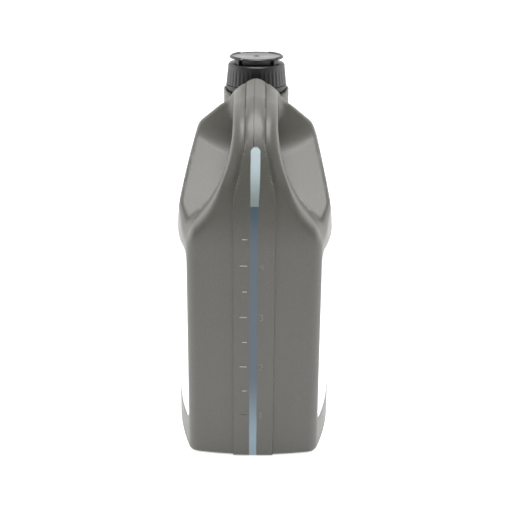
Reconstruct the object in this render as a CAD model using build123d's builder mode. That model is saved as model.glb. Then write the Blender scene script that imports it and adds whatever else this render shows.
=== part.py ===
from build123d import *
import os

os.makedirs("parts", exist_ok=True)

# A five-litre blow-moulded oil jug, in millimetres. The origin is the middle of the base, +Z is up
# and +X points to the handle. The neck stands over the far half of the body.

# Body
overall_length = 197.0
body_width = 137.0
shoulder_height = 272.0
corner_width = 108.0
corner_inset = 6.5
corner_radius = 11.0
base_radius = 3.0
wall = 1.3
side_straight_drop = 95.0
shoulder_corner = 49.0
shoulder_bulge = 61.0
shoulder_bulge_drop = 44.0
roof_mid = (30.0, 14.5)
roof_start_rise = 24.0
roof_fall = 0.3
neck_shelf_rise = 14.0
far_shelf_rise = 5.0
far_shoulder_drop = 37.0
far_shoulder_mid = (7.0, 10.0)

# Handle and the scoops on both sides of it
handle_width = 36.6
handle_thickness = 29.0
handle_foot_drop = 84.0
crest_corner = (15.0, 14.0)
crest_shoulder = (62.0, 28.0)
crest_rise = 37.0
crest_end_gap = 50.0
crest_back_gap = 37.0
crest_back_drop = 10.0
shelf_gap = 32.0
bell_radius = 109.0
bell_angle = 40.0
bell_top_rise = 13.0
bell_reach = 60.0
slope_foot_drop = 79.0
slope_foot_inset = 9.0
slope_rise = 0.72
gable_foot_gap = 46.0
gable_lean = 9.0
finger_hole_radius = 8.0

# Raised band down the middle of the handle end, and the fill marks on it
band_height = 1.7
band_width = 33.6
band_top_width = 15.4
band_depth = 8.0
band_widen_low_drop = 65.0
band_widen_high_drop = 5.0
mark_first = 40.3
mark_step = 45.1
mark_count = 4
mark_height = 1.8
mark_raise = 0.15
mark_edge = 5.5
whole_mark_length = 6.2
half_mark_length = 4.2
oil_level_litres = 5.1

# Labels
label_length = 170.0
label_bottom = 28.0
label_top_gap = 10.0
label_corner = 9.0
label_recess = 0.8
label_film = 0.25

# Neck, collar and thread
neck_from_end = 53.5
neck_radius = 21.0
neck_wall = 1.8
collar_gap = 0.8
collar_rim = 1.2
collar_top_rise = 22.0
collar_floor_drop = 2.2
collar_depth = 34.0
collar_slope_start = 5.0
collar_slope_fall = 8.0
bead_reach = 3.2
bead_rise = 3.0
bead_height = 1.6
bead_chamfer = 0.5
thread_lead = 6.0
thread_depth = 1.8
thread_width = 2.2
thread_turns = 1.5
thread_play = 0.4
thread_root = 0.4

# Tamper ring, cap and liner
seat_gap = 0.3
ring_wall = 2.4
ring_height = 5.2
ring_lip = 1.3
ring_edge_radius = 1.2
ring_gap = 0.5
cap_clearance = 0.6
cap_wall = 1.8
cap_skirt_height = 16.6
cap_flare = 1.6
rib_count = 40
rib_depth = 0.7
rib_width = 2.2
rib_top_gap = 1.0
cap_shoulder_height = 1.8
cap_shoulder_bevel = 1.0
liner_thickness = 1.2
boss_inset = 1.0
boss_wall = 1.6
boss_height = 4.7
disc_overhang = 3.15
disc_plate = 1.0
disc_rim_width = 2.8
disc_rim_height = 1.1
dimple_radius = 2.2
dimple_depth = 0.5

# Places worked out from the sizes above
far_x = -overall_length / 2
near_x = overall_length / 2 - band_height
half_width = body_width / 2
middle_x = (far_x + near_x) / 2
neck_x = far_x + neck_from_end
crest_z = shoulder_height + crest_rise
ridge_x = neck_x + gable_foot_gap - gable_lean
slope_foot_z = shoulder_height - slope_foot_drop
slope_foot_x = near_x - slope_foot_inset
gable_foot_x = neck_x + gable_foot_gap
gable_foot_z = slope_foot_z + (slope_foot_x - gable_foot_x) * slope_rise
collar_top = shoulder_height + collar_top_rise
collar_floor = collar_top - collar_floor_drop
ring_base = collar_floor + seat_gap
bead_base = ring_base + bead_rise
cap_base = ring_base + ring_height + ring_gap
cap_shoulder_z = cap_base + cap_skirt_height
neck_top = cap_shoulder_z - liner_thickness
bead_radius = neck_radius + bead_reach
ring_inner_radius = bead_radius + ring_gap
ring_outer_radius = ring_inner_radius + ring_wall
collar_radius = ring_outer_radius + collar_gap + collar_rim
neck_bore_radius = neck_radius - neck_wall
cap_bore_radius = neck_radius + thread_depth + cap_clearance
boss_radius = neck_radius - boss_inset
disc_radius = neck_radius + disc_overhang
oil_level = mark_first + mark_step * (oil_level_litres - 1)
beyond = 30.0
cut_margin = 1.0
above = crest_z + beyond


def bulge_radius(chord, rise):
    """The radius of an arc over a chord."""
    return (chord * chord / 4 + rise * rise) / (2 * rise)


def plan_profile(inset, height):
    """The body seen from above, where four bulged walls meet, each moved in by inset."""
    side_rise = (body_width - corner_width) / 2
    side_radius = bulge_radius(near_x - far_x - 2 * corner_inset, side_rise)
    end_radius = bulge_radius(corner_width, corner_inset)
    with BuildSketch(Plane.XY.offset(height)) as profile:
        with Locations((middle_x, half_width - side_radius)):
            Circle(side_radius - inset)
        with Locations((middle_x, side_radius - half_width)):
            Circle(side_radius - inset, mode=Mode.INTERSECT)
        with Locations(Location((near_x - end_radius, 0, 0), (0, 0, 180))):
            Circle(end_radius - inset, mode=Mode.INTERSECT)
        with Locations((far_x + end_radius, 0)):
            Circle(end_radius - inset, mode=Mode.INTERSECT)
        fillet(profile.vertices(), radius=corner_radius - inset)
    return profile.sketch


def side_profile(inset):
    """The body and handle seen from the side, open below the base and past both ends."""
    foot_z = shoulder_height - handle_foot_drop
    far_z = shoulder_height - far_shoulder_drop
    with BuildSketch(Plane.XZ.offset(-half_width - beyond)) as profile:
        with BuildLine():
            back = TangentArc(
                (near_x, foot_z),
                (near_x - crest_corner[0], shoulder_height - crest_corner[1]),
                tangent=(0, 1),
            )
            bend = TangentArc(
                back @ 1, (near_x - crest_shoulder[0], shoulder_height + crest_shoulder[1]), tangent=back % 1
            )
            crest = Line(bend @ 1, (neck_x + crest_end_gap, crest_z))
            drop = TangentArc(
                crest @ 1, (neck_x + crest_back_gap, crest_z - crest_back_drop), tangent=crest % 1
            )
            shelf_start = Line(drop @ 1, (neck_x + shelf_gap, shoulder_height + neck_shelf_rise))
            shelf = Line(shelf_start @ 1, (neck_x - collar_radius, shoulder_height + far_shelf_rise))
            far_bend = ThreePointArc(
                shelf @ 1,
                (far_x + far_shoulder_mid[0], shoulder_height - far_shoulder_mid[1]),
                (far_x, far_z),
            )
            Polyline(
                far_bend @ 1,
                (far_x - beyond, far_z),
                (far_x - beyond, -beyond),
                (near_x + beyond, -beyond),
                (near_x + beyond, foot_z),
                back @ 0,
            )
        make_face()
        if inset:
            offset(amount=-inset)
    return profile.sketch


def end_profile(inset):
    """The shoulders and roof seen from the handle end, open below the straight sides."""
    straight_z = shoulder_height - side_straight_drop
    with BuildSketch(Plane.YZ.offset(far_x - beyond)) as profile:
        with BuildLine():
            roof = Polyline(
                (0, above),
                (handle_width / 2, above),
                (handle_width / 2, shoulder_height + roof_start_rise),
                (roof_mid[0], shoulder_height + roof_mid[1]),
                (shoulder_corner, shoulder_height),
            )
            shoulder = ThreePointArc(
                roof @ 1,
                (shoulder_bulge, shoulder_height - shoulder_bulge_drop),
                (half_width, straight_z),
            )
            Polyline(
                shoulder @ 1,
                (half_width + beyond, straight_z),
                (half_width + beyond, -beyond),
                (0, -beyond),
                roof @ 0,
            )
        make_face()
        mirror(about=Plane.YZ)
        if inset:
            offset(amount=-inset)
    return profile.sketch


def roof_profile(inset):
    """What lies above the roof line at the ridge. It slopes down from there to the far end."""
    with BuildSketch(Plane.YZ.offset(ridge_x + inset)) as profile:
        with BuildLine():
            Polyline(
                (0, shoulder_height + roof_start_rise + roof_mid[1]),
                (handle_width / 2, shoulder_height + roof_start_rise),
                (roof_mid[0], shoulder_height + roof_mid[1]),
                (shoulder_corner, shoulder_height),
                (half_width + beyond, shoulder_height - beyond),
                (half_width + beyond, above),
                (0, above),
                close=True,
            )
        make_face()
        mirror(about=Plane.YZ)
        if inset:
            offset(amount=inset)
    return profile.sketch


def scoop_profile(inset):
    """The space over the slope and in front of the gable, seen from the side."""
    outside_x = near_x + beyond
    with BuildSketch(Plane.XZ.offset(-half_width - beyond)) as profile:
        with BuildLine():
            Polyline(
                (outside_x, slope_foot_z + (slope_foot_x - outside_x) * slope_rise),
                (gable_foot_x, gable_foot_z),
                (ridge_x, crest_z - crest_back_drop),
                (ridge_x, above),
                (outside_x, above),
                close=True,
            )
        make_face()
        if inset:
            offset(amount=inset)
    return profile.sketch


def bell_profile(inset):
    """The handle seen from its end: straight sides that flare like a bell into the end face."""
    with BuildSketch(Plane.YZ.offset(far_x - beyond)) as profile:
        with BuildLine():
            side = Line((handle_width / 2, above), (handle_width / 2, shoulder_height + bell_top_rise))
            flare = JernArc(side @ 1, (0, -1), bell_radius, bell_angle)
            skirt = Line(flare @ 1, flare @ 1 + (flare % 1) * bell_reach)
            Polyline(skirt @ 1, (0, (skirt @ 1).Y), (0, above), side @ 0)
        make_face()
        mirror(about=Plane.YZ)
        if inset:
            offset(amount=-inset)
    return profile.sketch


def hole_profile(inset):
    """The finger hole: its floor is the slope, and the handle over it has an even thickness."""
    with BuildSketch(Plane.XZ.offset(-half_width - beyond)) as profile:
        add(side_profile(handle_thickness))
        add(scoop_profile(0), mode=Mode.INTERSECT)
        offset(amount=-finger_hole_radius)
        offset(amount=finger_hole_radius + inset)
    return profile.sketch


def jug_form(inset):
    """The jug's closed form with every wall moved in by inset, without its neck and band."""
    across = body_width + 2 * beyond
    along = overall_length + 2 * beyond
    with BuildPart() as scoops:
        extrude(scoop_profile(inset), amount=across, dir=(0, -1, 0))
        extrude(bell_profile(inset), amount=along, dir=(1, 0, 0), mode=Mode.SUBTRACT)
    with BuildPart() as form:
        extrude(plan_profile(inset, inset), amount=above)
        fillet(form.faces().sort_by(Axis.Z)[0].edges(), radius=base_radius - inset)
        extrude(side_profile(inset), amount=across, dir=(0, -1, 0), mode=Mode.INTERSECT)
        extrude(end_profile(inset), amount=along, dir=(1, 0, 0), mode=Mode.INTERSECT)
        extrude(roof_profile(inset), amount=along, dir=(-1, 0, -roof_fall), mode=Mode.SUBTRACT)
        add(scoops.part, mode=Mode.SUBTRACT)
        extrude(hole_profile(inset), amount=across, dir=(0, -1, 0), mode=Mode.SUBTRACT)
    return form.part


def label_strips(outside, inside, grow):
    """Curved strips on both broad sides, between two insets of the plan."""
    label_height = slope_foot_z - label_top_gap - label_bottom
    with BuildPart() as strips:
        with BuildSketch(Plane.XY.offset(label_bottom - grow)):
            add(plan_profile(outside, 0))
            add(plan_profile(inside, 0), mode=Mode.SUBTRACT)
        extrude(amount=label_height + 2 * grow)
        with BuildSketch(Plane.XZ.offset(-half_width - beyond)) as window:
            with Locations((middle_x, label_bottom + label_height / 2)):
                RectangleRounded(label_length + 2 * grow, label_height + 2 * grow, label_corner + grow)
        extrude(window.sketch, amount=body_width + 2 * beyond, dir=(0, -1, 0), mode=Mode.INTERSECT)
    return strips.part


def cavity(inset):
    """The inside of the jug, drawn in behind the labels so that the wall stays even."""
    with BuildPart() as inside:
        add(jug_form(inset))
        add(label_strips(inset - cut_margin, inset + label_recess, wall), mode=Mode.SUBTRACT)
    return inside.part


def band_form():
    """The raised band: a strip of the end face and crest, moved out by its height."""
    low_z = shoulder_height - band_widen_low_drop
    high_z = shoulder_height - band_widen_high_drop
    with BuildPart() as band:
        extrude(plan_profile(-band_height, 0), amount=above)
        fillet(band.faces().sort_by(Axis.Z)[0].edges(), radius=base_radius + band_height)
        with BuildSketch(Plane.XZ.offset(-half_width - beyond)) as strip:
            add(side_profile(-band_height))
            add(side_profile(band_depth), mode=Mode.SUBTRACT)
            with Locations((near_x, 0)):
                Rectangle(2 * (near_x - gable_foot_x), 2 * above, mode=Mode.INTERSECT)
            with Locations((near_x, 0)):
                Rectangle(2 * band_depth, 2 * slope_foot_z)
        extrude(strip.sketch, amount=body_width + 2 * beyond, dir=(0, -1, 0), mode=Mode.INTERSECT)
        with BuildSketch(Plane.YZ.offset(far_x - beyond)) as front:
            with BuildLine():
                Polyline(
                    (0, 0),
                    (band_width / 2, 0),
                    (band_width / 2, low_z),
                    (band_top_width / 2, high_z),
                    (band_top_width / 2, above),
                    (0, above),
                    close=True,
                )
            make_face()
            mirror(about=Plane.YZ)
        extrude(front.sketch, amount=overall_length + 2 * beyond, dir=(1, 0, 0), mode=Mode.INTERSECT)
    return band.part


def thread_ridge(radius, start_z, depth):
    """A right-handed ridge on a cylinder. A negative depth points the ridge inwards."""
    root = radius - thread_root if depth > 0 else radius + thread_root
    crest = radius + depth
    with BuildPart() as ridge:
        with BuildLine() as path:
            Helix(thread_lead, thread_lead * thread_turns, radius, center=(0, 0, start_z))
        with BuildSketch(Plane.XZ):
            with BuildLine():
                Polyline(
                    (root, start_z - thread_width / 2),
                    (crest, start_z - thread_width / 4),
                    (crest, start_z + thread_width / 4),
                    (root, start_z + thread_width / 2),
                    close=True,
                )
            make_face()
        sweep(path=path.line, is_frenet=True)
    return ridge.part


def mark_profile():
    """The fill marks on one side of the level stripe, a long one for each whole litre."""
    with BuildSketch(Plane.YZ.offset(near_x)) as marks:
        for number in range(1, 2 * mark_count + 1):
            litres = (number + 1) / 2
            length = whole_mark_length if number % 2 else half_mark_length
            with Locations((-mark_edge - length / 2, mark_first + mark_step * (litres - 1))):
                Rectangle(length, mark_height)
    return marks.sketch


# The jug: one moulding with its hollow handle, collar, neck, thread and bead
jug_cavity = cavity(wall)
neck_thread_z = cap_base + thread_width + 2 * thread_play
with BuildPart() as collar:
    with BuildSketch(Plane.XY.offset(collar_top - collar_depth)):
        Circle(collar_radius)
    extrude(amount=collar_depth)
    with BuildSketch(Plane.XY.offset(collar_floor)):
        Circle(collar_radius - collar_rim)
    extrude(amount=collar_top - collar_floor, mode=Mode.SUBTRACT)
    with BuildSketch(Plane.XZ.offset(-collar_radius)) as slope:
        with BuildLine():
            Polyline(
                (collar_slope_start, collar_top),
                (collar_radius, collar_top - collar_slope_fall),
                (collar_radius, collar_top),
                close=True,
            )
        make_face()
    extrude(slope.sketch, amount=2 * collar_radius, dir=(0, -1, 0), mode=Mode.SUBTRACT)
with BuildPart() as neck:
    with BuildSketch(Plane.XY.offset(collar_top - collar_depth)):
        Circle(neck_radius)
    extrude(amount=neck_top - collar_top + collar_depth)
    with BuildSketch(Plane.XY.offset(bead_base)):
        Circle(bead_radius)
    extrude(amount=bead_height)
    bead_edges = neck.edges().filter_by(GeomType.CIRCLE).filter_by(lambda edge: edge.radius > neck_radius)
    chamfer(bead_edges, length=bead_chamfer)
    add(thread_ridge(neck_radius, neck_thread_z, thread_depth))
with BuildPart() as bottle:
    add(jug_form(0))
    add(band_form())
    extrude(hole_profile(0), amount=body_width + 2 * beyond, dir=(0, -1, 0), mode=Mode.SUBTRACT)
    add(collar.part.moved(Location((neck_x, 0, 0))))
    add(neck.part.moved(Location((neck_x, 0, 0))))
    extrude(mark_profile(), amount=band_height + mark_raise, dir=(1, 0, 0))
    add(label_strips(-cut_margin, label_recess, 0), mode=Mode.SUBTRACT)
    add(jug_cavity, mode=Mode.SUBTRACT)
    with BuildSketch(Plane.XY.offset(collar_top - collar_depth)):
        with Locations((neck_x, 0)):
            Circle(neck_bore_radius)
    extrude(amount=neck_top - collar_top + collar_depth, mode=Mode.SUBTRACT)
bottle.part.label = "bottle"
export_step(bottle.part, "parts/bottle.step")

# The oil, up to its level: the jug's cavity less a hair's gap
with BuildPart() as oil:
    add(cavity(wall + seat_gap))
    with BuildSketch(Plane.XY.offset(oil_level)):
        Rectangle(2 * overall_length, 2 * body_width)
    extrude(amount=above, mode=Mode.SUBTRACT)
oil.part.label = "oil"
export_step(oil.part, "parts/oil.step")

# The tamper ring: its inner lip is caught under the neck's bead
with BuildPart() as tamper_ring:
    with BuildSketch(Plane.XY.offset(ring_base)):
        with Locations((neck_x, 0)):
            Circle(ring_outer_radius)
            Circle(neck_radius + seat_gap, mode=Mode.SUBTRACT)
    extrude(amount=ring_height)
    with BuildSketch(Plane.XY.offset(ring_base + ring_lip)):
        with Locations((neck_x, 0)):
            Circle(ring_inner_radius)
    extrude(amount=ring_height, mode=Mode.SUBTRACT)
    outer_edge = tamper_ring.faces().sort_by(Axis.Z)[0].edges().sort_by(SortBy.LENGTH)[-1]
    fillet(outer_edge, radius=ring_edge_radius)
tamper_ring.part.label = "tamper_ring"
export_step(tamper_ring.part, "parts/tamper_ring.step")

# The screw cap: a flared skirt with grip ribs, a shoulder, and a raised disc on a hollow boss
skirt_radius = cap_bore_radius + cap_wall
boss_top = cap_shoulder_z + cap_shoulder_height + boss_height
disc_top = boss_top + disc_plate + disc_rim_height
with BuildPart() as cap_outside:
    with BuildSketch(Plane.XZ):
        with BuildLine():
            Polyline(
                (0, cap_base),
                (skirt_radius + cap_flare - rib_depth, cap_base),
                (skirt_radius - rib_depth / 2, cap_shoulder_z - rib_top_gap),
                (skirt_radius - rib_depth / 2, cap_shoulder_z + cap_shoulder_height - cap_shoulder_bevel),
                (skirt_radius - rib_depth / 2 - cap_shoulder_bevel, cap_shoulder_z + cap_shoulder_height),
                (boss_radius, cap_shoulder_z + cap_shoulder_height),
                (boss_radius, boss_top),
                (disc_radius, boss_top),
                (disc_radius, disc_top),
                (disc_radius - disc_rim_width, disc_top),
                (disc_radius - disc_rim_width - disc_rim_height / 2, boss_top + disc_plate),
                (dimple_radius, boss_top + disc_plate),
                (0, boss_top + disc_plate - dimple_depth),
                close=True,
            )
        make_face()
    revolve(axis=Axis.Z)
with BuildPart() as grip_rib:
    with BuildSketch(Plane.XZ.offset(-rib_width / 2)) as rib_side:
        with BuildLine():
            Polyline(
                (skirt_radius - cap_wall / 2, cap_base),
                (skirt_radius + cap_flare, cap_base),
                (skirt_radius, cap_shoulder_z - rib_top_gap),
                (skirt_radius - cap_wall / 2, cap_shoulder_z - rib_top_gap),
                close=True,
            )
        make_face()
    extrude(rib_side.sketch, amount=rib_width, dir=(0, -1, 0))
with BuildPart() as cap_form:
    add(cap_outside.part)
    with PolarLocations(0, rib_count):
        add(grip_rib.part)
    with BuildSketch(Plane.XY.offset(cap_base)):
        Circle(cap_bore_radius)
    extrude(amount=cap_skirt_height, mode=Mode.SUBTRACT)
    with BuildSketch(Plane.XY.offset(cap_shoulder_z)):
        Circle(boss_radius - boss_wall)
    extrude(amount=boss_top - cap_shoulder_z - disc_plate / 2, mode=Mode.SUBTRACT)
    cap_thread_z = neck_thread_z - thread_width / 2 - thread_play
    add(thread_ridge(cap_bore_radius, cap_thread_z, -thread_depth))
with BuildPart() as screw_cap:
    add(cap_form.part.moved(Location((neck_x, 0, 0))))
screw_cap.part.label = "screw_cap"
export_step(screw_cap.part, "parts/screw_cap.step")

# The foam liner, pressed between the cap's shoulder and the neck's rim
with BuildPart() as cap_liner:
    with BuildSketch(Plane.XY.offset(neck_top)):
        with Locations((neck_x, 0)):
            Circle(cap_bore_radius - seat_gap)
    extrude(amount=liner_thickness)
cap_liner.part.label = "cap_liner"
export_step(cap_liner.part, "parts/cap_liner.step")

# The two printed films, each lying in its shallow recess
film_strips = label_strips(label_recess - label_film, label_recess, 0)
for label_name, side in (("front_label", 0), ("back_label", -1)):
    with BuildPart() as label:
        add(film_strips.solids().sort_by(Axis.Y)[side])
    label.part.label = label_name
    export_step(label.part, f"parts/{label_name}.step")
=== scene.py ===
from math import cos, pi, radians, sin

import bmesh
import bpy
import numpy as np
from mathutils import Matrix, Vector


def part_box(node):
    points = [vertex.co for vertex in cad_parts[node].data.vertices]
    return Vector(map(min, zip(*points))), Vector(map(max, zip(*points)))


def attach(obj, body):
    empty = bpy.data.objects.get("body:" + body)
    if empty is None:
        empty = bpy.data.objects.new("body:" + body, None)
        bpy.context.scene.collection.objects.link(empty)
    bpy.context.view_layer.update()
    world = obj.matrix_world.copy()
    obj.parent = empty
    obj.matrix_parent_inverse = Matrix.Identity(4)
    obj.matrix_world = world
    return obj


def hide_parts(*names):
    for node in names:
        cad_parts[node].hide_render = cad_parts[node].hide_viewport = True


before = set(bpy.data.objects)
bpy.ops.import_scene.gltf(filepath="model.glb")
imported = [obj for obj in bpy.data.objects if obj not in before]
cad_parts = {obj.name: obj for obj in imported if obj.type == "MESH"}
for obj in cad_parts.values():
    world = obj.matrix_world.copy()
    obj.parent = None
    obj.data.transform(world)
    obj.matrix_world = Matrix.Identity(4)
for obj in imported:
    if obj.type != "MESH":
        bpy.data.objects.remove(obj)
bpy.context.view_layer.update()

# The studio: a white paper floor that glows a little, a sky that is bright behind the jug and dim towards the
# camera, a wide soft light on each side and one overhead, so that the jug's end stays darker than its flanks.
camera_tilt = 20.1
camera_data = bpy.data.cameras.new("camera")
camera_data.lens = 72.35
camera = bpy.data.objects.new("camera", camera_data)
camera.location = (0.872, 0.005, 0.469)
camera.rotation_euler = (radians(90 - camera_tilt), 0, radians(90.32))
camera.rotation_euler.rotate_axis("Z", radians(0.39))
bpy.context.collection.objects.link(camera)
bpy.context.scene.camera = camera
bpy.context.scene.view_settings.view_transform = "Standard"

sky = bpy.data.worlds.new("studio")
sky.use_nodes = True
sky_nodes = sky.node_tree.nodes
direction = sky_nodes.new("ShaderNodeTexCoord")
parts = sky_nodes.new("ShaderNodeSeparateXYZ")
toward_camera = sky_nodes.new("ShaderNodeMapRange")
toward_camera.interpolation_type = "SMOOTHSTEP"
for socket, value in (("From Min", -0.6), ("From Max", 0.4), ("To Min", 1.4), ("To Max", 0.05)):
    toward_camera.inputs[socket].default_value = value
sky.node_tree.links.new(direction.outputs["Generated"], parts.inputs[0])
sky.node_tree.links.new(parts.outputs["X"], toward_camera.inputs["Value"])
sky.node_tree.links.new(toward_camera.outputs[0], sky_nodes["Background"].inputs["Strength"])
sky_nodes["Background"].inputs["Color"].default_value = (1, 1, 1, 1)
bpy.context.scene.world = sky


def soft_light(name, place, size, power):
    """A large square lamp that faces the jug's middle."""
    lamp = bpy.data.lights.new(name, "AREA")
    lamp.size = size
    lamp.energy = power
    holder = bpy.data.objects.new(name, lamp)
    holder.location = place
    holder.rotation_euler = (Vector((0, 0, 0.15)) - Vector(place)).to_track_quat("-Z", "Y").to_euler()
    bpy.context.collection.objects.link(holder)


soft_light("left_light", (-0.3, -1.5, 0.7), 1.2, 9)
soft_light("right_light", (-0.3, 1.5, 0.7), 1.2, 9)
soft_light("top_light", (0.22, 0, 1.55), 0.8, 17)

bm = bmesh.new()
bmesh.ops.create_grid(bm, x_segments=1, y_segments=1, size=6)
floor_mesh = bpy.data.meshes.new("floor")
bm.to_mesh(floor_mesh)
bm.free()
paper = bpy.data.materials.new("white_paper")
paper.use_nodes = True
for socket, value in (
    ("Base Color", (0.92, 0.92, 0.92, 1)),
    ("Roughness", 0.9),
    ("Emission Color", (1, 1, 1, 1)),
    ("Emission Strength", 0.6),
):
    paper.node_tree.nodes["Principled BSDF"].inputs[socket].default_value = value
floor_mesh.materials.append(paper)
floor = bpy.data.objects.new("floor", floor_mesh)
bpy.context.collection.objects.link(floor)

# The jug is blown in one piece from pearl grey polyethylene: body, hollow handle, sloped scoops for the
# knuckles, raised band down the handle end and a shallow recess for each label. Its form is told as a
# distance in millimetres, below zero inside, from plain shapes that meet or join with rounded edges.
MM = 0.001
body_low, body_high = (np.array(corner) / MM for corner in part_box("bottle"))
band_height = 1.7
far_x = body_low[0]
mark_proud = 0.15
near_x = body_high[0] - mark_proud - band_height
middle_x = (far_x + near_x) / 2
half_width = body_high[1]
neck_x = far_x + 53.5
shoulder_z = 272.0
wall = 1.3
side_radius = 293.7
end_radius = 227.6
handle_half = 18.3
handle_thickness = 29.0
bell_radius = 109.0
bell_turn = radians(40)
bell_top = shoulder_z + 13
slope_rise = 0.72
label_half = (85.4, 77.9)
label_middle_z = 105.5
label_recess = 0.8
label_corner = 9.0
band_foot_half = 16.8
band_narrowing = 9.4
band_flank = 0.7
groove_width = 4.2
groove_depth = 1.9
groove_wall = 1.6
upright_edge = 5.5
scoop_foot_z = 193
gable_x, gable_z, gable_lean, gable_bow = 9.6, 249.3, 0.33, 0.0063
roof_z, roof_fall, roof_climb = 296.3, 0.79, 0.3
shelf_z, shelf_climb = 277, 0.1475
far_top_edge = 30
tent_z, tent_half, tent_fall = 305.6, 10.3, 0.83
platform_radius, platform_top = 28.9, 287
base_edge = 3


def meet(a, b, radius):
    """Where both forms are, with the edge between them rounded."""
    return (
        np.minimum(np.maximum(a + radius, b + radius), 0)
        + np.hypot(np.maximum(a + radius, 0), np.maximum(b + radius, 0))
        - radius
    )


def join(a, b, radius):
    """Where either form is, with the corner between them filled to a radius."""
    return -meet(-a, -b, radius)


def ease(value, start, end):
    """Goes smoothly from 0 at start to 1 at end."""
    share = np.clip((value - start) / (end - start), 0, 1)
    return share * share * (3 - 2 * share)


def beyond_line(u, v, start, end):
    """The distance to the right of a line that runs from start to end."""
    along = np.subtract(end, start)
    along = along / np.hypot(*along)
    return (u - start[0]) * along[1] - (v - start[1]) * along[0]


def circle_through(a, b, c):
    """The centre and radius of the circle through three points."""
    a, b, c = (np.array(point, dtype=float) for point in (a, b, c))
    sides = np.array((b - a, c - a))
    centre = np.linalg.solve(sides, np.array((b @ b - a @ a, c @ c - a @ a)) / 2)
    return centre, np.hypot(*(centre - a))


shoulder_centre, shoulder_radius = circle_through((49, 272), (61, 228), (68.5, 177))
foot = np.array((near_x, shoulder_z - 84))
back_end = np.array((near_x - 15, shoulder_z - 14))
bend_end = np.array((near_x - 62, shoulder_z + 28))
crest_end = np.array((neck_x + 50, shoulder_z + 34.9))
back_radius = ((foot - back_end) @ (foot - back_end)) / (2 * (foot - back_end)[0])
back_centre = foot - (back_radius, 0)
back_normal = (back_end - back_centre) / back_radius
bend_chord = bend_end - back_end
bend_radius = -(bend_chord @ bend_chord) / (2 * bend_chord @ back_normal)
bend_centre = back_end - back_normal * bend_radius


def handle_back(x, z):
    """The distance beyond the end face and the handle's back, seen from the side."""
    arc = np.hypot(x - back_centre[0], z - back_centre[1]) - back_radius
    back = np.where(z < foot[1], x - near_x, arc)
    bend = np.hypot(x - bend_centre[0], z - bend_centre[1]) - bend_radius
    crest = beyond_line(x, z, crest_end, bend_end)
    crest = -crest if beyond_line(0, 0, crest_end, bend_end) > 0 else crest
    on_bend = (z - bend_centre[1]) * back_normal[0] > (x - bend_centre[0]) * back_normal[1]
    bend_normal = (bend_end - bend_centre) / bend_radius
    on_crest = (z - bend_centre[1]) * bend_normal[0] > (x - bend_centre[0]) * bend_normal[1]
    return np.where(on_crest, crest, np.where(on_bend, bend, back))


def band_half(z):
    """Half the raised band's width, which narrows up the handle."""
    return band_foot_half - band_narrowing * ease(z, 222, 278)


def label_border(x, z):
    """The distance outside a label's recess."""
    across = np.abs(x - middle_x) - label_half[0] + label_corner
    up = np.abs(z - label_middle_z) - label_half[1] + label_corner
    outside = np.hypot(np.maximum(across, 0), np.maximum(up, 0))
    return np.minimum(np.maximum(across, up), 0) + outside - label_corner


def jug_form(points, detail=1.0):
    """How far each point is outside the jug's skin. Detail is the share of band and recesses that shows."""
    x, y, z = points.T
    y = np.abs(y)
    crowned_x = x + y * y / (2 * end_radius)
    back = handle_back(crowned_x, z)
    past_band = y - band_half(z)
    past_flank = past_band - band_flank
    groove = np.maximum(1 - np.where(past_flank < 0, -past_flank, past_flank / groove_width), 0)
    groove = groove_depth * ease(z, 228, 246) * groove
    raised = band_height * (1 - ease(past_band, 0, band_flank)) - groove
    crown = 0.045 * np.minimum(y, 8) ** 2 * ease(z, 282, 303) + 0.4 * np.maximum(y - 9, 0) * ease(z, 236, 262)
    outer = back + (crown - raised * detail) * ease(x, -12, 2)

    swell = np.hypot(x - middle_x, y - half_width + side_radius) - side_radius
    shoulder = np.hypot(y - shoulder_centre[0], np.maximum(z - shoulder_centre[1], 0)) - shoulder_radius
    blend = np.maximum(1 - np.abs(swell - shoulder), 0)
    sides = np.maximum(swell, shoulder) + blend * blend / 4
    sides = sides + label_recess * (1 - ease(label_border(x, z), -0.5, 0.5)) * detail
    far = np.hypot(x - far_x - end_radius, y) - end_radius
    walls = meet(meet(sides, outer, upright_edge), far, upright_edge)

    slope = (z - scoop_foot_z + (x - near_x + 9) * slope_rise) / np.hypot(1, slope_rise)
    gable = (x - gable_x + gable_bow * y * y + gable_lean * (z - gable_z)) / 1.08
    lift = 0.03 * np.maximum(20 - y, 0) ** 2
    roof = (z - roof_z + roof_fall * (y - handle_half) - lift - roof_climb * (x + 8)) / 1.31
    scoops = meet(join(slope, gable, 7), roof, 2.5)

    ahead, height = bell_radius + handle_half - y, bell_top - z
    flare = bell_radius - np.hypot(ahead, height)
    skirt = (y - handle_half - bell_radius) * cos(bell_turn) - height * sin(bell_turn) + bell_radius
    below_top = np.where(height < np.abs(ahead) * np.tan(bell_turn), flare, skirt)
    bell = np.where(height < 0, y - handle_half, below_top)
    handle = meet(bell, -back - handle_thickness, 8)
    root = 10 - 7 * ease(y, 24, 44) * (1 - ease(z, 230, 255))
    core = join(scoops, handle, root)

    behind = beyond_line(x, z, (-8, 299), (-13, 286))
    behind = behind if beyond_line(-50, 299, (-8, 299), (-13, 286)) > 0 else -behind
    shelf = (z - shelf_z - shelf_climb * (x + 74)) / 1.01
    shelf = meet(shelf, far_x - x, far_top_edge)
    core = meet(core, join(shelf, behind, 4), 5)
    tent = (z - tent_z + tent_fall * (y - tent_half)) / 1.3
    core = meet(core, tent, 1.2)
    edge = 10 - 8 * np.maximum(ease(y, 46, 58) * ease(z, 196, 220), ease(z, 214, 246))
    solid = meet(core, walls, edge)
    platform = meet(np.hypot(x - neck_x, y) - platform_radius, z - platform_top, 1)
    solid = join(solid, platform, 3)
    return meet(solid, -z, base_edge)


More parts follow.
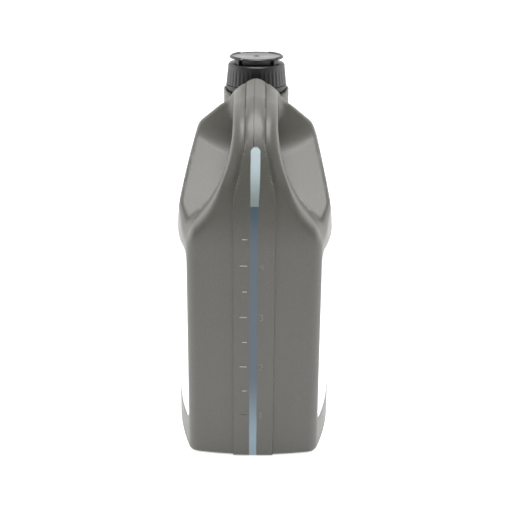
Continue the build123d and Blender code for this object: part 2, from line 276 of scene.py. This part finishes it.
def wall_at(points):
    """The wall's thickness, which grows up the handle, behind its grooves."""
    x, y, z = points.T
    behind_grooves = ease(x, -12, 2) * ease(z, 222, 236) * (1 - ease(np.abs(y), 19, 24))
    return wall + groove_wall * behind_grooves


def settle(mesh, depth, rounds, detail=0.0):
    """Moves every vertex straight out from the plain form, onto the skin or a share of the wall under it."""
    points = np.empty(3 * len(mesh.vertices))
    mesh.vertices.foreach_get("co", points)
    points = points.reshape(-1, 3) / MM
    reach = 0.05
    for _ in range(rounds):
        rises = [jug_form(points + reach * axis, 0) - jug_form(points - reach * axis, 0) for axis in np.eye(3)]
        slope = np.stack(rises, axis=1) / (2 * reach)
        steepness = np.maximum((slope * slope).sum(axis=1), 0.25)
        away = np.clip(jug_form(points, detail) + depth * wall_at(points), -3, 3)
        points -= (away / steepness)[:, None] * slope
    mesh.vertices.foreach_set("co", (points * MM).ravel())
    mesh.update()


def relax(mesh, times):
    """Evens out the spacing of a mesh's vertices."""
    bm = bmesh.new()
    bm.from_mesh(mesh)
    for _ in range(times):
        bmesh.ops.smooth_vert(
            bm, verts=bm.verts, factor=0.5, use_axis_x=True, use_axis_y=True, use_axis_z=True
        )
    bm.to_mesh(mesh)
    bm.free()


def refine(mesh, is_near):
    """Cuts the faces finer wherever a small feature passes."""
    bm = bmesh.new()
    bm.from_mesh(mesh)
    points = np.array([vert.co for vert in bm.verts]) / MM
    chosen = is_near(points)
    bm.verts.index_update()
    edges = [edge for edge in bm.edges if chosen[edge.verts[0].index] and chosen[edge.verts[1].index]]
    bmesh.ops.subdivide_edges(bm, edges=edges, cuts=1, use_grid_fill=True)
    bm.to_mesh(mesh)
    bm.free()


def near_band(points, low, high):
    """Tells which points lie beside the band's edge, on the end face or the handle's back."""
    x, y, z = points.T
    y = np.abs(y)
    past = y - band_half(z)
    on_back = np.abs(handle_back(x + y * y / (2 * end_radius), z)) < 4
    return on_back & (x > -14) & (past > low) & (past < high)


def near_label(points, reach):
    """Tells which points lie beside a label recess's edge."""
    x, y, z = points.T
    return (np.abs(label_border(x, z)) < reach) & (np.abs(y) > 40)


def add_object(name, bm):
    """Puts a finished bmesh into the scene as an object at the origin."""
    mesh = bpy.data.meshes.new(name)
    bm.to_mesh(mesh)
    bm.free()
    obj = bpy.data.objects.new(name, mesh)
    bpy.context.collection.objects.link(obj)
    return obj


def apply_modifiers(obj):
    """Replaces an object's mesh by what its modifiers make of it."""
    made = bpy.data.meshes.new_from_object(obj.evaluated_get(bpy.context.evaluated_depsgraph_get()))
    made.name = obj.name
    obj.modifiers.clear()
    obj.data = made


def combine(target, tool, operation):
    """Unites two closed solids, cuts one by the other or keeps what they share, and uses up the second."""
    modifier = target.modifiers.new("combine", "BOOLEAN")
    modifier.operation = operation
    modifier.solver = "MANIFOLD"
    modifier.object = tool
    apply_modifiers(target)
    bpy.data.objects.remove(tool)


def prism(name, outline, axis, reach):
    """An outline in millimetres, drawn out both ways along an axis."""
    place = {
        "X": lambda u, v: (-reach, u, v),
        "Y": lambda u, v: (u, -reach, v),
        "Z": lambda u, v: (u, v, -reach),
    }
    along = {"X": (1, 0, 0), "Y": (0, 1, 0), "Z": (0, 0, 1)}
    bm = bmesh.new()
    face = bm.faces.new([bm.verts.new(Vector(place[axis](u, v)) * MM) for u, v in outline])
    grown = bmesh.ops.extrude_face_region(bm, geom=[face])["geom"]
    verts = [part for part in grown if isinstance(part, bmesh.types.BMVert)]
    bmesh.ops.translate(bm, verts=verts, vec=Vector(along[axis]) * 2 * reach * MM)
    bmesh.ops.recalc_face_normals(bm, faces=bm.faces)
    return add_object(name, bm)


jug = prism(
    "jug",
    [(near_x, 0), (near_x, 190), (93, 225), (82, 258), (62, 283), (35, 300), (5, 309), (-8, 299), (-13, 286),
     (neck_x + 29, 284), (neck_x - 29, 278), (-88, 265), (far_x, 240), (far_x, 0)],
    "Y",
    half_width,
)
plan = [(near_x, 50), (80, 57), (40, 66), (0, half_width), (-40, 66), (-80, 57), (far_x, 50)]
combine(jug, prism("plan", plan + [(x, -y) for x, y in reversed(plan)], "Z", 400), "INTERSECT")
ends = [
    (0, 330), (handle_half, 330), (handle_half, 296), (49, 272), (61, 228), (half_width, 177),
    (half_width, -9),
]
combine(jug, prism("ends", ends + [(-y, z) for y, z in reversed(ends[1:])], "X", 400), "INTERSECT")
for hand in (1, -1):
    scoop = prism("scoop", [(88, 193), (1, 255.5), (-8, 299), (-8, 340), (150, 340), (150, 148)], "Y", 400)
    beside = [(18, 340), (18, 285), (23, 255), (38, 222), (60, 196), (160, 76), (160, 340)]
    combine(scoop, prism("beside", [(hand * y, z) for y, z in beside], "X", 400), "INTERSECT")
    combine(jug, scoop, "DIFFERENCE")
fingers = [(55, 221), (8, 255), (2, 276), (26, 270), (46, 257), (58, 240)]
combine(jug, prism("fingers", fingers, "Y", 400), "DIFFERENCE")

cavity = jug.copy()
cavity.data = jug.data.copy()
bpy.context.collection.objects.link(cavity)
for shell, grain, depth in ((jug, 2.4, 0), (cavity, 4.0, 1)):
    remesh = shell.modifiers.new("remesh", "REMESH")
    remesh.mode = "VOXEL"
    remesh.voxel_size = grain * MM
    apply_modifiers(shell)
    for _ in range(4):
        settle(shell.data, depth, 3)
        relax(shell.data, 2)
    settle(shell.data, depth, 4)
for low, high, reach in ((-2.5, 5.5, 2.6), (-1.2, 4.0, 1.5)):
    refine(jug.data, lambda points: near_band(points, low, high) | near_label(points, reach))
    settle(jug.data, 0, 3)
settle(jug.data, 0, 5, detail=1.0)


# The jug's mouth: a collar that shields the tamper ring, cut away towards the handle, then the neck with
# its bead and its thread. They are blown with the jug, so they are united with it and share its bore.
neck_top = body_high[2]
ring_low, ring_high = (corner[2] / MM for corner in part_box("tamper_ring"))
collar_radius = 29.1
collar_top = 294.0
collar_floor = ring_low - 0.3
collar_wall = 1.3
bead_radius = 24.2
mouth_foot = 262
neck_radius = 21.0
bore_radius = 19.2
bead_z = ring_low + 3
thread_z = ring_high + 3.5
thread_lead = 6.0
thread_turns = 1.5


def bevel(bm, edges, width):
    """Rounds edges by a width in millimetres."""
    bmesh.ops.bevel(
        bm,
        geom=edges,
        offset=width * MM,
        affect="EDGES",
        segments=2,
        profile=0.5,
        material=-1,
        clamp_overlap=True,
    )


def lathe(name, outline, steps=128, edge=0.0):
    """An outline of radii and heights in millimetres, turned about the neck's line and eased at its edges."""
    bm = bmesh.new()
    verts = [bm.verts.new((radius * MM, 0, height * MM)) for radius, height in outline]
    edges = [bm.edges.new(pair) for pair in zip(verts, verts[1:])]
    if outline[0][0] > 0:
        edges.append(bm.edges.new((verts[-1], verts[0])))
    bmesh.ops.spin(
        bm,
        geom=verts + edges,
        cent=(0, 0, 0),
        axis=(0, 0, 1),
        dvec=(0, 0, 0),
        angle=2 * pi,
        steps=steps,
        use_merge=True,
    )
    bmesh.ops.remove_doubles(bm, verts=bm.verts, dist=0.001 * MM)
    bmesh.ops.recalc_face_normals(bm, faces=bm.faces)
    if edge:
        sharp = [line for line in bm.edges if line.calc_face_angle(0) > radians(30)]
        bevel(bm, sharp, edge)
    for face in bm.faces:
        face.smooth = True
    bmesh.ops.translate(bm, verts=bm.verts, vec=(neck_x * MM, 0, 0))
    return add_object(name, bm)


def helix(name, outline, lead, turns):
    """A ridge whose outline climbs round the neck's line, with both its ends closed."""
    per_turn = 72
    bm = bmesh.new()
    verts = [bm.verts.new((radius * MM, 0, height * MM)) for radius, height in outline]
    edges = [bm.edges.new(pair) for pair in zip(verts, verts[1:] + verts[:1])]
    spun = bmesh.ops.spin(
        bm,
        geom=verts + edges,
        cent=(0, 0, 0),
        axis=(0, 0, 1),
        dvec=(0, 0, lead * MM / per_turn),
        angle=2 * pi * turns,
        steps=int(per_turn * turns),
        use_merge=False,
    )
    bmesh.ops.contextual_create(bm, geom=edges)
    last = [part for part in spun["geom_last"] if isinstance(part, bmesh.types.BMEdge)]
    bmesh.ops.contextual_create(bm, geom=last)
    bmesh.ops.recalc_face_normals(bm, faces=bm.faces)
    bmesh.ops.translate(bm, verts=bm.verts, vec=(neck_x * MM, 0, 0))
    return add_object(name, bm)


collar = lathe(
    "collar",
    [(0, mouth_foot), (collar_radius, mouth_foot), (collar_radius, collar_top),
     (collar_radius - collar_wall, collar_top), (collar_radius - collar_wall, collar_floor),
     (0, collar_floor)],
    edge=0.35,
)
cut = [(5, collar_top), (40, collar_top - 11.6), (40, collar_top + 9), (5, collar_top + 9)]
combine(collar, prism("cut", [(neck_x + x, z) for x, z in cut], "Y", 60), "DIFFERENCE")
neck = lathe(
    "neck",
    [(0, mouth_foot), (neck_radius, mouth_foot), (neck_radius, bead_z), (bead_radius, bead_z + 0.2),
     (bead_radius, bead_z + 1.4), (neck_radius, bead_z + 1.6), (neck_radius, neck_top), (0, neck_top)],
    edge=0.3,
)
ridge = [(20.6, thread_z - 1.1), (22.8, thread_z - 0.55), (22.8, thread_z + 0.55), (20.6, thread_z + 1.1)]
combine(neck, helix("neck_thread", ridge, thread_lead, thread_turns), "UNION")
combine(collar, neck, "UNION")
combine(jug, collar, "UNION")

# The jug's plastic: satin grey with a fine pearl fleck and a faint flow in the melt. The level stripe was
# blown without pigment, so it is clear and the oil shows dark behind it. The mould's seam runs round the
# middle.
oil_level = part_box("oil")[1][2] / MM


def linear(red, green, blue):
    """A screen colour, from 0 to 255, as the light it stands for."""
    return tuple((share / 255) ** 2.2 for share in (red, green, blue)) + (1.0,)


class Wire:
    """One output in a material's nodes. Plain arithmetic on it adds Math nodes."""

    def __init__(self, tree, socket=None):
        self.tree = tree
        self.socket = socket

    def node(self, kind, settings=None, sockets=None, out=0):
        """Adds a node, sets it up, feeds its sockets and gives one of its outputs."""
        made = self.tree.nodes.new(kind)
        for name, value in (settings or {}).items():
            setattr(made, name, value)
        for name, value in (sockets or {}).items():
            if isinstance(value, Wire):
                self.tree.links.new(value.socket, made.inputs[name])
            else:
                made.inputs[name].default_value = value
        return Wire(self.tree, made.outputs[out])

    def maths(self, operation, *others):
        """A Math node on this value and others."""
        return self.node("ShaderNodeMath", {"operation": operation}, dict(enumerate((self, *others))))

    def __add__(self, other):
        return self.maths("ADD", other)

    def __sub__(self, other):
        return self.maths("SUBTRACT", other)

    def __rsub__(self, other):
        return self.maths("MULTIPLY_ADD", -1, other)

    def __mul__(self, other):
        return self.maths("MULTIPLY", other)

    __radd__ = __add__
    __rmul__ = __mul__

    def size(self):
        """The value without its sign."""
        return self.maths("ABSOLUTE")

    def rise(self, start, end):
        """Goes smoothly from 0 where the value is start to 1 where it is end."""
        return self.node(
            "ShaderNodeMapRange",
            {"interpolation_type": "SMOOTHSTEP"},
            {"Value": self, "From Min": start, "From Max": end},
        )

    def mix(self, low, high):
        """A colour between two others, by this value."""
        return self.node("ShaderNodeMix", {"data_type": "RGBA"}, {0: self, 6: low, 7: high}, out=2)


def finish(name, **constants):
    """A new material with its fixed numbers set, a wire to build from, and a way to feed its shader."""
    material = bpy.data.materials.new(name)
    material.use_nodes = True
    shader = material.node_tree.nodes["Principled BSDF"]
    for socket, value in constants.items():
        shader.inputs[socket.replace("_", " ")].default_value = value
    wire = Wire(material.node_tree)

    def feed(**values):
        for socket, value in values.items():
            material.node_tree.links.new(value.socket, shader.inputs[socket.replace("_", " ")])

    return material, wire, feed


def place_of(wire):
    """The point on the piece, and its three coordinates in millimetres."""
    point = wire.node("ShaderNodeTexCoord", out="Object")
    parts = [wire.node("ShaderNodeSeparateXYZ", sockets={0: point}, out=axis) * (1 / MM) for axis in "XYZ"]
    return point, *parts


def noise(wire, point, scale, detail=2.0):
    """Smooth noise between 0 and 1."""
    return wire.node("ShaderNodeTexNoise", sockets={"Vector": point, "Scale": scale, "Detail": detail})


plastic, wire, feed = finish("pearl_plastic", Coat_Weight=0.12, Coat_Roughness=0.3)
point, x, y, z = place_of(wire)
fleck = noise(wire, point, 2600, 1)
flow = noise(wire, wire.node("ShaderNodeMapping", sockets={"Vector": point, "Scale": (1, 1, 0.25)}), 26, 3)
grey = (fleck.rise(0.35, 0.7) * 0.6 + flow * 0.4).mix(linear(78, 77, 72), linear(104, 103, 97))
wander = (noise(wire, point, 60) - 0.5) * 0.7
narrowing = z.rise(266.5, 270.5) * 2.6
right_edge = 2.9 + z.rise(200, 262) * 1.5 - narrowing
left_edge = 3.3 - narrowing
stripe = (
    (y + left_edge + wander).rise(-0.4, 0.4)
    * (right_edge - y + wander).rise(-0.4, 0.4)
    * (270.2 - z).rise(0, 1.6)
    * (x + z.maths("MAXIMUM", 230) * 0.4 - 170).rise(0, 1)
)
clear = z.rise(oil_level, oil_level + 34).mix(linear(132, 142, 141), linear(186, 202, 207))
# Below the oil level the stripe is painted lighter towards the bottom, as painted light bounced up from the
# white floor.
filled_painted_floor_light = z.rise(8, 80).mix(linear(134, 157, 170), linear(76, 91, 104))
strip_colour = z.rise(oil_level - 0.4, oil_level + 0.4).mix(filled_painted_floor_light, clear)
seam_wander = (noise(wire, point, 90) - 0.5) * 1.6
seam = 1 - (y + 1.2 + seam_wander).size().rise(0.15, 0.6)
body_colour = (seam * (0.2 + z.rise(240, 275) * 0.6)).mix(grey, linear(40, 39, 36))
skin_bump = fleck * 0.25 + noise(wire, point, 900, 2) * 0.75 - seam * 3
feed(
    Base_Color=stripe.mix(body_colour, strip_colour),
    Roughness=0.36 + flow * 0.1 - stripe * 0.1,
    Normal=wire.node("ShaderNodeBump", sockets={"Height": skin_bump, "Strength": 0.35, "Distance": 0.00006}),
)
# A painted highlight for the raised marks and digits: pale for the marks' lit upward faces, and a fainter pale
# for the digits.
highlight_plastic, wire, feed = finish("painted_highlight_plastic", Coat_Weight=0.12, Coat_Roughness=0.3, Roughness=0.45)
point, x, y, z = place_of(wire)
painted_highlight_white = noise(wire, point, 300).mix(linear(172, 172, 166), linear(214, 215, 210))
painted_highlight_grey = noise(wire, point, 300).mix(linear(98, 98, 92), linear(128, 128, 122))
feed(Base_Color=y.rise(-1, 1).mix(painted_highlight_white, painted_highlight_grey))
jug.data.materials.clear()
jug.data.materials.append(plastic)

# The fill marks and plain digits stand proud of the band beside the stripe, a mark for each half litre from
# one litre up. They are the jug's own plastic and are united with it. The marks' upward faces carry a painted
# highlight, and the digits carry a fainter painted highlight all over, for the light that the raised plastic
# catches.
mark_first = 40.3
litre_height = 45.1
mark_edge = 5.5
whole_length, half_length = 6.2, 4.2
digit_middle_y = 6.3
digit_height = 8.5
for half in range(2, 10):
    length = half_length if half % 2 else whole_length
    bm = bmesh.new()
    bmesh.ops.create_cube(bm, size=1)
    bmesh.ops.scale(bm, vec=Vector((7.5, length, 1.9)) * MM, verts=bm.verts)
    bevel(bm, bm.edges, 0.5)
    for face in bm.faces:
        # Faces that look upwards take the painted highlight.
        face.material_index = int(face.normal.z > 0.3)
    bmesh.ops.scale(bm, vec=(0.4, 1, 1), verts=bm.verts)
    mark_z = mark_first + litre_height * (half / 2 - 1)
    middle = (near_x + band_height - 1.3, -mark_edge - length / 2, mark_z)
    bmesh.ops.translate(bm, vec=Vector(middle) * MM, verts=bm.verts)
    for vert in bm.verts:
        vert.co.x -= (vert.co.y / MM) ** 2 / (2 * end_radius) * MM
    mark = add_object("mark", bm)
    mark.data.materials.append(plastic)
    mark.data.materials.append(highlight_plastic)
    combine(jug, mark, "UNION")
for litre in range(1, 5):
    digit = bpy.data.curves.new("digit", "FONT")
    digit.body = str(litre)
    digit.size = digit_height * MM
    digit.extrude = 1 * MM
    digit.align_x = "CENTER"
    digit.align_y = "CENTER"
    digit.resolution_u = 4
    shape = bpy.data.objects.new("digit", digit)
    bpy.context.collection.objects.link(shape)
    bm = bmesh.new()
    drawn = shape.evaluated_get(bpy.context.evaluated_depsgraph_get())
    bm.from_mesh(bpy.data.meshes.new_from_object(drawn))
    bpy.data.objects.remove(shape)
    bmesh.ops.remove_doubles(bm, verts=bm.verts, dist=0.001 * MM)
    upright = Matrix(((0, 0, 1, 0), (1, 0, 0, 0), (0, 1, 0, 0), (0, 0, 0, 1)))
    digit_z = mark_first + litre_height * (litre - 1)
    upright.translation = Vector((near_x + band_height - 0.87, digit_middle_y, digit_z)) * MM
    bmesh.ops.transform(bm, matrix=upright, verts=bm.verts)
    bmesh.ops.recalc_face_normals(bm, faces=bm.faces)
    # The whole digit takes the fainter painted highlight.
    for face in bm.faces:
        face.material_index = 1
    figure = add_object("digit", bm)
    figure.data.materials.append(plastic)
    figure.data.materials.append(highlight_plastic)
    combine(jug, figure, "UNION")

# The jug is hollow: its wall has one thickness, and more behind the handle's grooves. The bore opens into
# the space.
oil_shape = cavity.copy()
oil_shape.data = cavity.data.copy()
bpy.context.collection.objects.link(oil_shape)
combine(jug, cavity, "DIFFERENCE")
combine(jug, lathe("bore", [(0, 250), (bore_radius, 250), (bore_radius, 330), (0, 330)]), "DIFFERENCE")
jug.data.shade_smooth()
jug.data.set_sharp_from_angle(angle=radians(38))
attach(jug, "jug")
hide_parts("bottle")

# The oil fills the jug to just over the five-litre level, a hair inside its walls.
settle(oil_shape.data, 1.2, 2)
top = prism("top", [(-150, oil_level), (150, oil_level), (150, 400), (-150, 400)], "Y", 150)
combine(oil_shape, top, "DIFFERENCE")
oil_shape.name = "oil_fill"
oil_shape.data.shade_smooth()
oil_shape.data.set_sharp_from_angle(angle=radians(40))
amber, wire, feed = finish("amber_oil", Roughness=0.04, IOR=1.47, Transmission_Weight=0.6)
point, x, y, z = place_of(wire)
depth = noise(wire, point, 12) * 0.5 + z.rise(0, oil_level) * 0.5
feed(Base_Color=depth.mix(linear(150, 88, 20), linear(208, 146, 48)))
oil_shape.data.materials.clear()
oil_shape.data.materials.append(amber)
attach(oil_shape, "jug")
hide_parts("oil")

# The tamper ring: moulded with the cap from satin black plastic, it stays on the neck with its lip under
# the bead.
cap_low, cap_high = (corner[2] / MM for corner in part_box("screw_cap"))
plate_z = cap_high - 1.1
ring_lip_radius = 21.3
ring_radius = 27.1
black, wire, feed = finish("black_plastic", Coat_Weight=0.1, Coat_Roughness=0.35)
point, x, y, z = place_of(wire)
grain = noise(wire, point, 1400, 2)
cloud = noise(wire, point, 45, 2)
feed(
    Base_Color=cloud.mix(linear(17, 17, 16), linear(27, 27, 26)),
    Roughness=0.38 + cloud * 0.12 - (z - plate_z).size().rise(0.3, 0.1) * 0.22,
    Normal=wire.node("ShaderNodeBump", sockets={"Height": grain, "Strength": 0.3, "Distance": 0.00004}),
)
ring = lathe(
    "tamper_band",
    [(ring_lip_radius, ring_low), (25.6, ring_low), (26.7, ring_low + 0.6), (ring_radius, ring_low + 1.7),
     (ring_radius, ring_high), (24.7, ring_high), (24.7, ring_low + 1.3), (ring_lip_radius, ring_low + 1.3)],
    edge=0.25,
)
ring.data.materials.append(black)
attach(ring, "jug")
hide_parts("tamper_ring")

# The screw cap: a flared skirt with forty finger flutes, a rounded shoulder, and a raised disc on a boss.
# The disc's rim has two higher lobes, and four struts brace it from the shoulder.
skirt_radius = 25.2
flare = 1.6
flare_steps = 12
flare_step = 1.32
shoulder_top = neck_top + 3
disc_z = cap_high - 2.1
disc_radius = 24.15
boss_radius = 19.6
flute_count = 40
flute_depth = 0.28
lobe_middles = (98, 274)
lobe_half = 52
cap_bore_radius = 23.4
cap_roof = neck_top + 1.2

skirt = [
    (skirt_radius + flare * (1 - up / flare_steps), cap_low + up * flare_step)
    for up in range(flare_steps + 1)
]
cap = lathe(
    "cap",
    [(0, cap_low)] + skirt
    + [(skirt_radius, shoulder_top - 1.3), (skirt_radius - 1.1, shoulder_top),
       (boss_radius, shoulder_top + 0.2), (boss_radius, disc_z), (disc_radius - 0.4, disc_z),
       (disc_radius, disc_z + 0.5),
       (disc_radius, cap_high - 1.4), (disc_radius - 1.5, cap_high), (disc_radius - 1.9, cap_high),
       (disc_radius - 3.2, plate_z), (2.6, plate_z), (1.6, cap_high - 1.7), (0, cap_high - 1.7)],
    steps=8 * flute_count,
    edge=0.4,
)
for vert in cap.data.vertices:
    along, across, height = vert.co.x / MM - neck_x, vert.co.y / MM, vert.co.z / MM
    radius, turn = np.hypot(along, across), np.arctan2(across, along)
    if radius < 1:
        continue
    if height < shoulder_top - 2 and radius > skirt_radius - 1:
        fade = ease(height, cap_low + 0.4, cap_low + 1.2)
        fade *= 1 - ease(height, shoulder_top - 6, shoulder_top - 3.5)
        radius_change = -flute_depth * fade * (0.5 - 0.5 * cos(flute_count * turn)) ** 1.5
        height_change = 0
    elif height > disc_z - 1 and radius > boss_radius + 0.6:
        nearest = min(abs((np.degrees(turn) - middle + 180) % 360 - 180) for middle in lobe_middles)
        low = ease(nearest, lobe_half - 3, lobe_half + 3)
        radius_change = -0.9 * low
        height_change = -0.55 * low * (height > cap_high - 0.9)
    else:
        continue
    scale = 1 + radius_change / radius
    vert.co = ((neck_x + along * scale) * MM, across * scale * MM, (height + height_change) * MM)
for side in (-1, 1):
    for turn in (radians(46), radians(150)):
        bm = bmesh.new()
        bmesh.ops.create_cube(bm, size=1)
        bmesh.ops.scale(bm, vec=Vector((4.2, 1.8, disc_z - shoulder_top + 1.2)) * MM, verts=bm.verts)
        bevel(bm, bm.edges, 0.3)
        strut_place = Vector((boss_radius + 0.7, 0, (disc_z + shoulder_top) / 2))
        bmesh.ops.translate(bm, vec=strut_place * MM, verts=bm.verts)
        bmesh.ops.rotate(bm, cent=(0, 0, 0), matrix=Matrix.Rotation(side * turn, 3, "Z"), verts=bm.verts)
        bmesh.ops.translate(bm, vec=(neck_x * MM, 0, 0), verts=bm.verts)
        combine(cap, add_object("strut", bm), "UNION")
bore = lathe("cap_bore", [(0, 280), (cap_bore_radius, 280), (cap_bore_radius, cap_roof), (0, cap_roof)])
combine(cap, bore, "DIFFERENCE")
groove_z = thread_z - 1.5
ridge = [(23.8, groove_z - 1.1), (21.6, groove_z - 0.55), (21.6, groove_z + 0.55), (23.8, groove_z + 1.1)]
combine(cap, helix("cap_thread", ridge, thread_lead, thread_turns), "UNION")
cap.data.shade_smooth()
cap.data.set_sharp_from_angle(angle=radians(38))
cap.data.materials.clear()
cap.data.materials.append(black)
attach(cap, "cap")
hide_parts("screw_cap")

# The liner: a disc of white foam, pressed into the cap, that seals the neck's rim.
foam, wire, feed = finish("white_foam", Roughness=0.8)
point, x, y, z = place_of(wire)
cells = wire.node("ShaderNodeTexVoronoi", sockets={"Vector": point, "Scale": 1500})
feed(
    Base_Color=noise(wire, point, 200).mix(linear(214, 214, 208), linear(232, 232, 228)),
    Normal=wire.node("ShaderNodeBump", sockets={"Height": cells, "Strength": 0.5, "Distance": 0.0001}),
)
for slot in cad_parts["cap_liner"].material_slots:
    slot.material = foam

# The labels: glossy white film on both broad sides, with a plain dark field and two pale rules printed on it.
film, wire, feed = finish("printed_film", Coat_Weight=0.6, Coat_Roughness=0.08)
point, x, y, z = place_of(wire)
across, up = (x - middle_x).size(), (z - label_middle_z).size()
field = (1 - across.rise(61.6, 62.0)) * (1 - up.rise(59.6, 60.0))
rule = (1 - (up - 44).size().rise(0.9, 1.1)) * field
tone = noise(wire, point, 35).mix(linear(38, 42, 46), linear(46, 50, 55))
white = noise(wire, point, 20).mix(linear(198, 202, 206), linear(212, 215, 218))
ripple = noise(wire, point, 60)
feed(
    Base_Color=rule.mix(field.mix(white, tone), linear(170, 176, 182)),
    Roughness=0.2 + noise(wire, point, 150) * 0.06,
    Normal=wire.node("ShaderNodeBump", sockets={"Height": ripple, "Strength": 0.1, "Distance": 0.0001}),
)
for label in ("front_label", "back_label"):
    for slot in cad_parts[label].material_slots:
        slot.material = film
